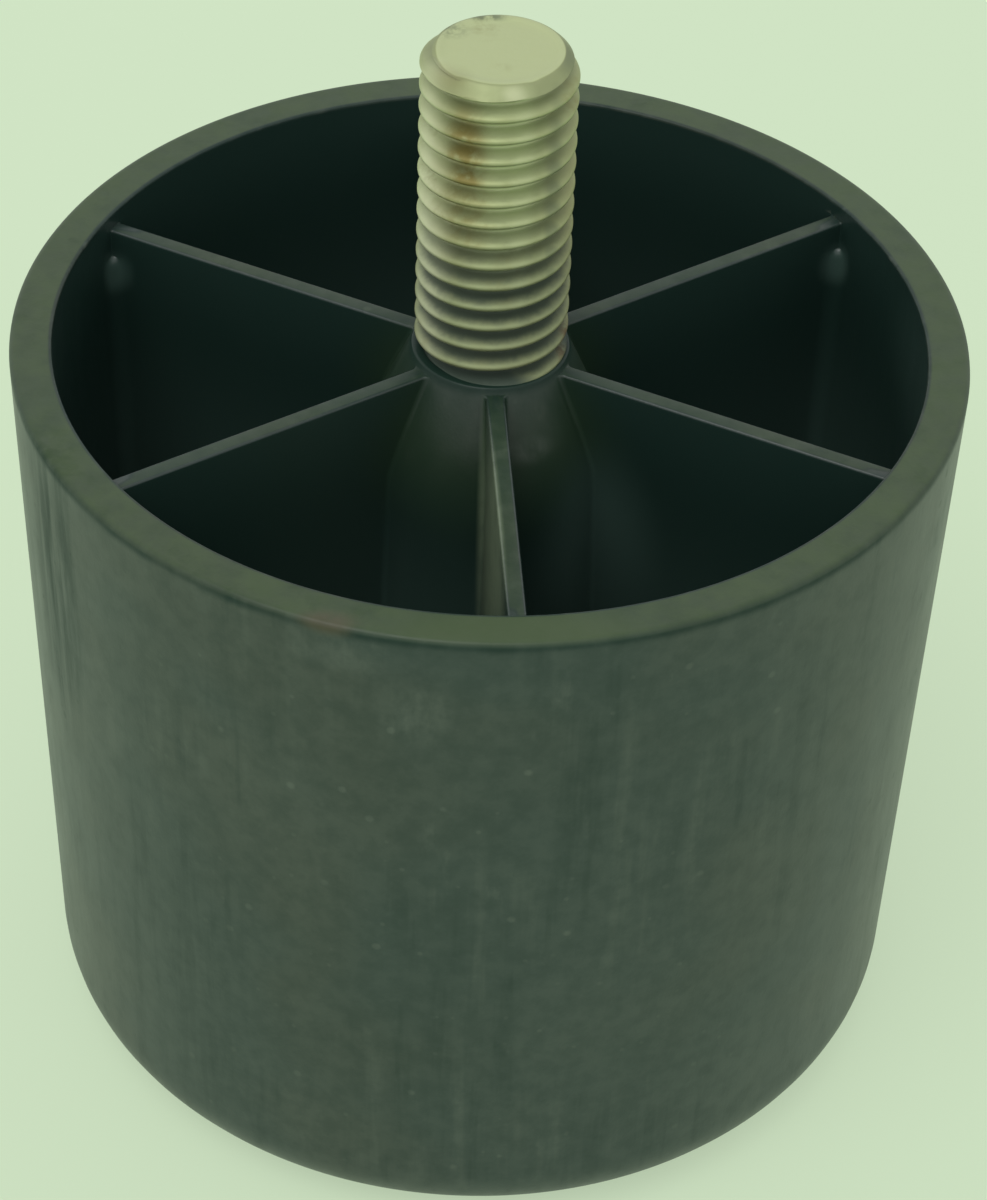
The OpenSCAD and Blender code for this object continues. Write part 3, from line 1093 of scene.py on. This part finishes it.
def thread_tree():
    """Winds a grid round the axis as a rolled thread, chamfered at its tip and closed to its neighbours"""
    sockets = [(label, "Float") for label in THREAD_SIZES]
    sockets += [("Columns", "Int"), ("Rows per turn", "Int"), ("Weld", "Float"), ("Material", "Material")]
    tree, given = new_tree("Rolled thread", sockets)
    pitch = given["Pitch"]
    foot = given["Foot height"]
    row_rise = calc(tree, "DIVIDE", pitch, given["Rows per turn"])
    first = calc(tree, "SUBTRACT", calc(tree, "SUBTRACT", foot, pitch), row_rise)
    rise = calc(tree, "SUBTRACT", given["Top height"], first)
    last_row = calc(tree, "ADD", calc(tree, "CEIL", calc(tree, "DIVIDE", rise, row_rise)), 1.0)
    columns = calc(tree, "ADD", given["Columns"], 1.0)
    rows = calc(tree, "ADD", last_row, 1.0)
    grid = add_node(
        tree, "GeometryNodeMeshGrid",
        {"Size X": 1.0, "Size Y": 1.0, "Vertices X": columns, "Vertices Y": rows},
    ).outputs["Mesh"]

    place = add_node(tree, "GeometryNodeInputPosition").outputs[0]
    flat = add_node(tree, "ShaderNodeSeparateXYZ", {0: place}).outputs
    turn = calc(tree, "ADD", flat["X"], 0.5)
    row = calc(tree, "MULTIPLY", calc(tree, "ADD", flat["Y"], 0.5), last_row)
    climb = calc(tree, "MULTIPLY_ADD", turn, pitch, calc(tree, "MULTIPLY_ADD", row, row_rise, first))
    z = calc(tree, "MAXIMUM", calc(tree, "MINIMUM", climb, given["Top height"]), foot)

    turns_up = calc(tree, "DIVIDE", calc(tree, "SUBTRACT", z, given["Crest height"]), pitch)
    turns_round = calc(tree, "SUBTRACT", turn, given["Crest turn"])
    phase = calc(tree, "FRACT", calc(tree, "SUBTRACT", turns_up, turns_round))
    wave = calc(tree, "ABSOLUTE", calc(tree, "MULTIPLY_ADD", phase, 2.0, -1.0))
    crest_start = calc(tree, "SUBTRACT", 1.0, given["Crest share"])
    lift = remap(tree, wave, given["Root share"], crest_start)
    ridge = remap(tree, lift, 0.0, 1.0, given["Root radius"], given["Crest radius"], "LINEAR")
    chamfer = calc(tree, "ADD", given["Tip radius"], calc(tree, "SUBTRACT", given["Tip height"], z))
    cut = calc(tree, "MINIMUM", ridge, chamfer)
    on_shank = calc(tree, "LESS_THAN", row, 0.5)
    on_tip = calc(tree, "GREATER_THAN", row, calc(tree, "SUBTRACT", last_row, 0.5))
    radius = remap(tree, on_shank, 0.0, 1.0, cut, given["Shank radius"], "LINEAR")
    radius = remap(tree, on_tip, 0.0, 1.0, radius, chamfer, "LINEAR")
    full_height = calc(tree, "MAXIMUM", lift, calc(tree, "LESS_THAN", chamfer, ridge))

    marked = add_node(
        tree, "GeometryNodeStoreNamedAttribute",
        {"Geometry": grid, "Name": "thread_height", "Value": full_height},
        data_type="FLOAT", domain="POINT",
    ).outputs[0]
    around = calc(tree, "MULTIPLY", turn, 2 * math.pi)
    wound = add_node(
        tree, "ShaderNodeCombineXYZ",
        {
            "X": calc(tree, "MULTIPLY", radius, calc(tree, "COSINE", around)),
            "Y": calc(tree, "MULTIPLY", radius, calc(tree, "SINE", around)),
            "Z": z,
        },
    ).outputs[0]
    thread = add_node(tree, "GeometryNodeSetPosition", {"Geometry": marked, "Position": wound}).outputs[0]
    joined = add_node(tree, "GeometryNodeJoinGeometry", {0: thread})
    tree.links.new(given["Geometry"], joined.inputs[0])
    return close_tree(tree, joined.outputs[0], given["Weld"], given["Material"])


def run_tree(obj, tree, values):
    """Runs a tree on an object with those inputs and keeps the result as a plain mesh"""
    modifier = obj.modifiers.new(tree.name, "NODES")
    modifier.node_group = tree
    for item in tree.interface.items_tree:
        if item.in_out == "INPUT" and item.name in values:
            modifier[item.identifier] = values[item.name]
    evaluated = obj.evaluated_get(bpy.context.evaluated_depsgraph_get())
    mesh = bpy.data.meshes.new_from_object(evaluated)
    obj.modifiers.remove(modifier)
    obj.data = mesh
    mesh.name = obj.name


def close_mesh(obj):
    """Turns all faces outwards, drops what the weld left loose and keeps sharp bends crisp"""
    bm = bmesh.new()
    bm.from_mesh(obj.data)
    bmesh.ops.dissolve_degenerate(bm, edges=bm.edges, dist=WELD / 10)
    loose = [edge for edge in bm.edges if not edge.link_faces]
    bmesh.ops.delete(bm, geom=loose, context="EDGES")
    bmesh.ops.recalc_face_normals(bm, faces=bm.faces)
    bm.to_mesh(obj.data)
    bm.free()
    obj.data.set_sharp_from_angle(angle=CRISP_ANGLE)


def add_object(name, mesh):
    """A new object at the origin"""
    obj = bpy.data.objects.new(name, mesh)
    bpy.context.scene.collection.objects.link(obj)
    return obj


# Stud

def stud_ends(leg, stud):
    """Hidden shank and collar of the stud, and its tip, open where the thread goes"""
    mesh = RowMesh("thread_height")
    angles = between(0, 2 * math.pi, STUD_STEPS)
    shank_r = shank_radius(stud)
    collar_top = stud.foot_height + stud.collar_height
    collar = hexagon_points(shank_r + stud.collar_out, angles)
    shank = ring_points(shank_r, angles)
    hidden = [
        mesh.add_row(ring_points(0, angles), stud.foot_height, CREST_LEVEL),
        mesh.add_row(collar, stud.foot_height, CREST_LEVEL),
        mesh.add_row(collar, collar_top, CREST_LEVEL),
        mesh.add_row(shank, collar_top, CREST_LEVEL),
        mesh.add_row(shank, thread_foot(leg, stud), CREST_LEVEL),
    ]
    mesh.join_rows(hidden, False)

    edge_r = stud.radius - stud.tip_chamfer
    soft = stud.tip_edge
    top = stud.tip_height
    section = [(edge_r + soft * out, top - soft * down) for out, down in TIP_EDGE_SHARES]
    face_r = edge_r - soft * TIP_BAND_SHARE
    section.append((face_r, top - stud.tip_dish))
    for part in FACE_SHARES:
        dish = stud.tip_dish * (DISH_MIDDLE_SHARE + (1 - DISH_MIDDLE_SHARE) * part)
        section.append((face_r * part, top - dish))
    rows = [mesh.add_row(ring_points(section[0][0], angles), section[0][1], CREST_LEVEL)]
    for radius, z in section[1:]:
        level = FACE_LEVEL if radius < edge_r else CREST_LEVEL
        rows.append(mesh.add_row(ring_points(radius, angles), z, level))
        for vert in rows[-1]:
            vert.co.z -= dent_depth(vert.co, edge_r)
    mesh.join_rows(rows, False)
    return mesh.finish("Stud ends")


def dent_depth(point, radius):
    """Depth of the dents at a point of the tip"""
    depth = 0
    for degrees, reach, deepest in DENTS:
        turn = math.radians(degrees)
        away = math.hypot(point.x - radius * math.cos(turn), point.y - radius * math.sin(turn))
        depth += deepest * math.exp(-(away / reach) ** 2)
    return depth


def thread_foot(leg, stud):
    """Height at which the thread goes into the boss"""
    return boss_top(leg) - stud.seat_sink


# Operators

class FURNITURELEG_OT_stage(Operator):
    """Lay the pale floor, hang the lights and set up the camera"""

    bl_idname = "furniture_leg.stage"
    bl_label = "Stage"
    bl_options = {"REGISTER", "UNDO"}

    def execute(self, context):
        look = context.scene.furniture_leg.stage
        context.scene.view_settings.view_transform = "Standard"
        self.add_floor(look)
        self.add_sky(look)
        self.add_window(look)
        self.add_camera(look)
        return {"FINISHED"}

    def add_floor(self, look):
        """Lays a round pale floor"""
        bm = bmesh.new()
        bmesh.ops.create_circle(bm, cap_ends=True, segments=FLOOR_SIDES, radius=look.floor_radius)
        mesh = bpy.data.meshes.new("Floor")
        bm.to_mesh(mesh)
        bm.free()
        mesh.materials.append(floor_material(look))
        add_object("Floor", mesh)

    def add_sky(self, look):
        """Gives soft even light from all round"""
        world = bpy.data.worlds.new("Soft light")
        world.use_nodes = True
        background = world.node_tree.nodes["Background"]
        background.inputs["Color"].default_value = (*look.sky, 1.0)
        background.inputs["Strength"].default_value = look.sky_strength
        bpy.context.scene.world = world

    def add_window(self, look):
        """Hangs one wide soft light overhead, aimed at the middle of the leg"""
        lamp = bpy.data.lights.new("Overhead window", "AREA")
        lamp.shape = "DISK"
        lamp.size = look.window_size
        lamp.energy = look.window_power
        light = add_object("Overhead window", lamp)
        light.location = look.window_place
        aim = Vector((0, 0, LEG_HIGH.z / 2)) - Vector(look.window_place)
        light.rotation_euler = aim.to_track_quat("-Z", "Y").to_euler()

    def add_camera(self, look):
        """Sets up the camera as the photograph was taken"""
        ahead = Vector((
            math.sin(look.camera_pan) * math.cos(look.camera_tilt),
            math.cos(look.camera_pan) * math.cos(look.camera_tilt),
            -math.sin(look.camera_tilt),
        ))
        level = Vector((math.cos(look.camera_pan), -math.sin(look.camera_pan), 0))
        upright = level.cross(ahead)
        right = level * math.cos(look.camera_roll) + upright * math.sin(look.camera_roll)
        up = right.cross(ahead)
        facing = Matrix((right, up, -ahead)).transposed().to_4x4()
        place = Matrix.Translation((0, -look.camera_out, look.camera_height))
        data = bpy.data.cameras.new("Camera")
        data.lens = look.lens
        data.clip_start = NEAREST_SEEN
        camera = add_object("Camera", data)
        camera.matrix_world = Matrix.Rotation(look.camera_side, 4, "Z") @ place @ facing
        bpy.context.scene.camera = camera


class FURNITURELEG_OT_body(Operator):
    """Make the moulded leg: one sector from rib to rib, repeated about the axis"""

    bl_idname = "furniture_leg.body"
    bl_label = "Moulded leg"
    bl_options = {"REGISTER", "UNDO"}

    def execute(self, context):
        settings = context.scene.furniture_leg
        leg = settings.leg
        body = add_object("moulded_leg", leg_sector(leg, settings.stud))
        material = plastic_material(settings.leg_finish, leg)
        run_tree(body, sector_tree(), {"Copies": leg.rib_count, "Weld": WELD, "Material": material})
        close_mesh(body)
        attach(body, "root")
        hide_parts("leg_body")
        return {"FINISHED"}


class FURNITURELEG_OT_stud(Operator):
    """Make the stud: hidden collar and shank, rolled thread and chamfered tip"""

    bl_idname = "furniture_leg.stud"
    bl_label = "Threaded stud"
    bl_options = {"REGISTER", "UNDO"}

    def execute(self, context):
        settings = context.scene.furniture_leg
        leg = settings.leg
        stud = settings.stud
        piece = add_object("stud", stud_ends(leg, stud))
        values = {
            "Foot height": thread_foot(leg, stud),
            "Top height": stud.tip_height - stud.tip_edge,
            "Tip height": stud.tip_height,
            "Tip radius": stud.radius - stud.tip_chamfer,
            "Shank radius": shank_radius(stud),
            "Root radius": stud.radius - stud.depth_share * stud.pitch,
            "Crest radius": stud.radius,
            "Pitch": stud.pitch,
            "Crest share": stud.crest_share,
            "Root share": stud.root_share,
            "Crest height": stud.crest_height,
            "Crest turn": stud.crest_side / (2 * math.pi),
            "Columns": STUD_STEPS,
            "Rows per turn": TURN_STEPS,
            "Weld": WELD,
            "Material": plate_material(settings.stud_finish, leg, stud),
        }
        run_tree(piece, thread_tree(), values)
        close_mesh(piece)
        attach(piece, "root")
        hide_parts("threaded_stud")
        return {"FINISHED"}


class FURNITURELEG_PT_panel(Panel):
    """Lists the pieces of the furniture leg and their settings"""

    bl_idname = "FURNITURELEG_PT_panel"
    bl_label = "Furniture leg"
    bl_space_type = "VIEW_3D"
    bl_region_type = "UI"
    bl_category = "Furniture leg"

    def draw(self, context):
        settings = context.scene.furniture_leg
        for operator in OPERATORS:
            self.layout.operator(operator.bl_idname)
        groups = (settings.leg, settings.stud, settings.leg_finish, settings.stud_finish, settings.stage)
        for group in groups:
            box = self.layout.box()
            for name in group.__annotations__:
                box.prop(group, name)


OPERATORS = (FURNITURELEG_OT_stage, FURNITURELEG_OT_body, FURNITURELEG_OT_stud)
CLASSES = (
    LegSizes, StudSizes, LegFinish, StudFinish, StageLook, FurnitureLegSettings,
    *OPERATORS, FURNITURELEG_PT_panel,
)


def register():
    """Adds the classes and the settings"""
    for cls in CLASSES:
        bpy.utils.register_class(cls)
    Scene.furniture_leg = PointerProperty(type=FurnitureLegSettings)


def unregister():
    """Takes the settings and the classes away"""
    del Scene.furniture_leg
    for cls in reversed(CLASSES):
        bpy.utils.unregister_class(cls)


def main():
    """Registers the classes and makes the stage and the pieces in order"""
    register()
    bpy.ops.furniture_leg.stage()
    bpy.ops.furniture_leg.body()
    bpy.ops.furniture_leg.stud()


if __name__ == "__main__":
    main()
